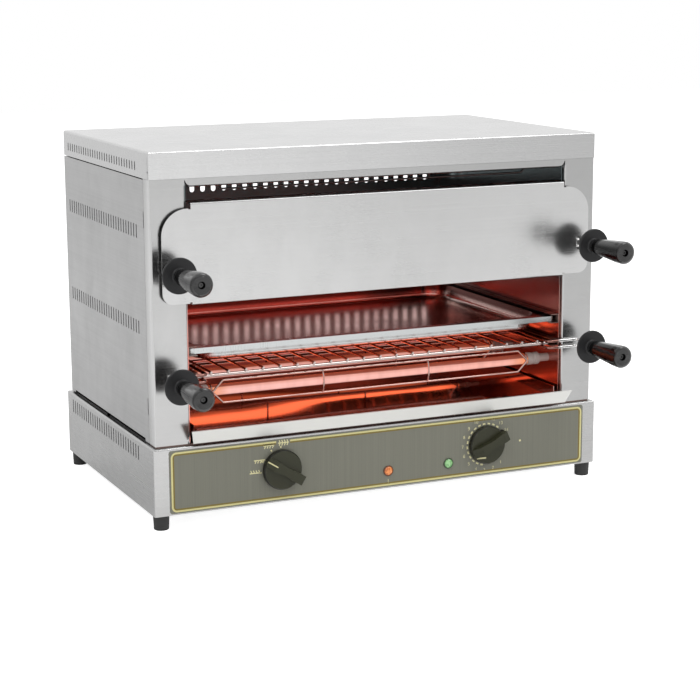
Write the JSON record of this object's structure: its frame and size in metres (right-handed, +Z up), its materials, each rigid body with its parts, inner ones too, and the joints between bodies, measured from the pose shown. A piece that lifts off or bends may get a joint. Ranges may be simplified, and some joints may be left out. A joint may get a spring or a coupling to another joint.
{
  "type": "cheese melter",
  "caption": "Two-level quartz cheese melter: a louvred steel case on a control base, with caged infrared tubes, pull-out wire racks with paired-wire handles, a shield, a pan and a crumb tray.",
  "frame": {"origin": "on the table under the middle of the whole machine, handles and cable gland included", "axes": "+X to the user's right, +Y away from the user, +Z up"},
  "size_m": [0.64, 0.5116, 0.475],
  "materials": {
    "steel": "brushed",
    "bright_steel": "polished",
    "chrome_wire": "polished",
    "olive_plate": "satin",
    "black_plastic": "matte",
    "black_gloss": "gloss",
    "rubber": "matte",
    "quartz": "frosted",
    "coil": "glowing",
    "ceramic": "matte",
    "orange_lens": "gloss",
    "green_lens": "gloss",
    "bezel": "gloss",
    "switch_plastic": "matte",
    "movement_steel": "satin"
  },
  "bodies": {
    "case": {"base_housing": "steel", "base_bottom_plate": "steel", "control_plate": "olive_plate", "feet": "rubber", "foot_screws": "bright_steel", "cavity_floor": "steel", "front_fascia": "steel", "left_side_panel": "steel", "right_side_panel": "steel", "rear_panel": "steel", "lid": "steel", "left_liner": "bright_steel", "right_liner": "bright_steel", "top_reflector": "bright_steel", "left_runners": "steel", "right_runners": "steel", "tray_rails": "steel", "bottom_tubes": "quartz", "middle_tubes": "quartz", "top_tubes": "quartz", "bottom_tube_caps": "ceramic", "middle_tube_caps": "ceramic", "top_tube_caps": "ceramic", "bottom_heating_coils": "coil", "middle_heating_coils": "coil", "top_heating_coils": "coil", "bottom_tube_guards": "chrome_wire", "middle_tube_guards": "chrome_wire", "top_tube_guards": "chrome_wire", "selector_switch": "switch_plastic", "timer_movement": "movement_steel", "control_nuts": "bright_steel", "orange_lamp": "orange_lens", "green_lamp": "green_lens", "lamp_bezels": "bezel", "terminal_block": "switch_plastic", "cable_gland": "black_plastic", "rear_screws": "bright_steel"},
    "lower_rack": {"lower_rack_frame": "chrome_wire", "lower_rack_bars": "chrome_wire", "lower_handle_wires": "chrome_wire", "lower_heat_discs": "black_plastic", "lower_grips": "black_gloss", "lower_grip_screws": "black_gloss"},
    "upper_rack": {"upper_rack_frame": "chrome_wire", "upper_rack_bars": "chrome_wire", "upper_handle_wires": "chrome_wire", "upper_heat_discs": "black_plastic", "upper_grips": "black_gloss", "upper_grip_screws": "black_gloss", "shield_panel": "steel", "shield_clips": "steel"},
    "pan": {"pan": "bright_steel"},
    "crumb_tray": {"crumb_tray": "bright_steel"},
    "selector": {"selector_knob": "black_plastic", "selector_shaft": "bright_steel"},
    "timer": {"timer_knob": "black_plastic", "timer_shaft": "bright_steel"}
  },
  "joints": [
    {"name": "lower_rack_slide", "type": "slide", "parent": "case", "child": "lower_rack", "axis": [0, -1, 0], "range_m": [0, 0.24]},
    {"name": "upper_rack_slide", "type": "slide", "parent": "case", "child": "upper_rack", "axis": [0, -1, 0], "range_m": [0, 0.24]},
    {"name": "pan_slide", "type": "slide", "parent": "case", "child": "pan", "axis": [0, -1, 0], "range_m": [0, 0.24]},
    {"name": "crumb_tray_slide", "type": "slide", "parent": "case", "child": "crumb_tray", "axis": [0, -1, 0], "range_m": [0, 0.24]},
    {"name": "selector_turn", "type": "hinge", "parent": "case", "child": "selector", "pos_m": [-0.149, -0.144, 0.063], "axis": [0, 1, 0], "range_deg": [-36, 68]},
    {"name": "timer_turn", "type": "hinge", "parent": "case", "child": "timer", "pos_m": [0.149, -0.144, 0.063], "axis": [0, 1, 0], "range_deg": [0, 285]}
  ]
}
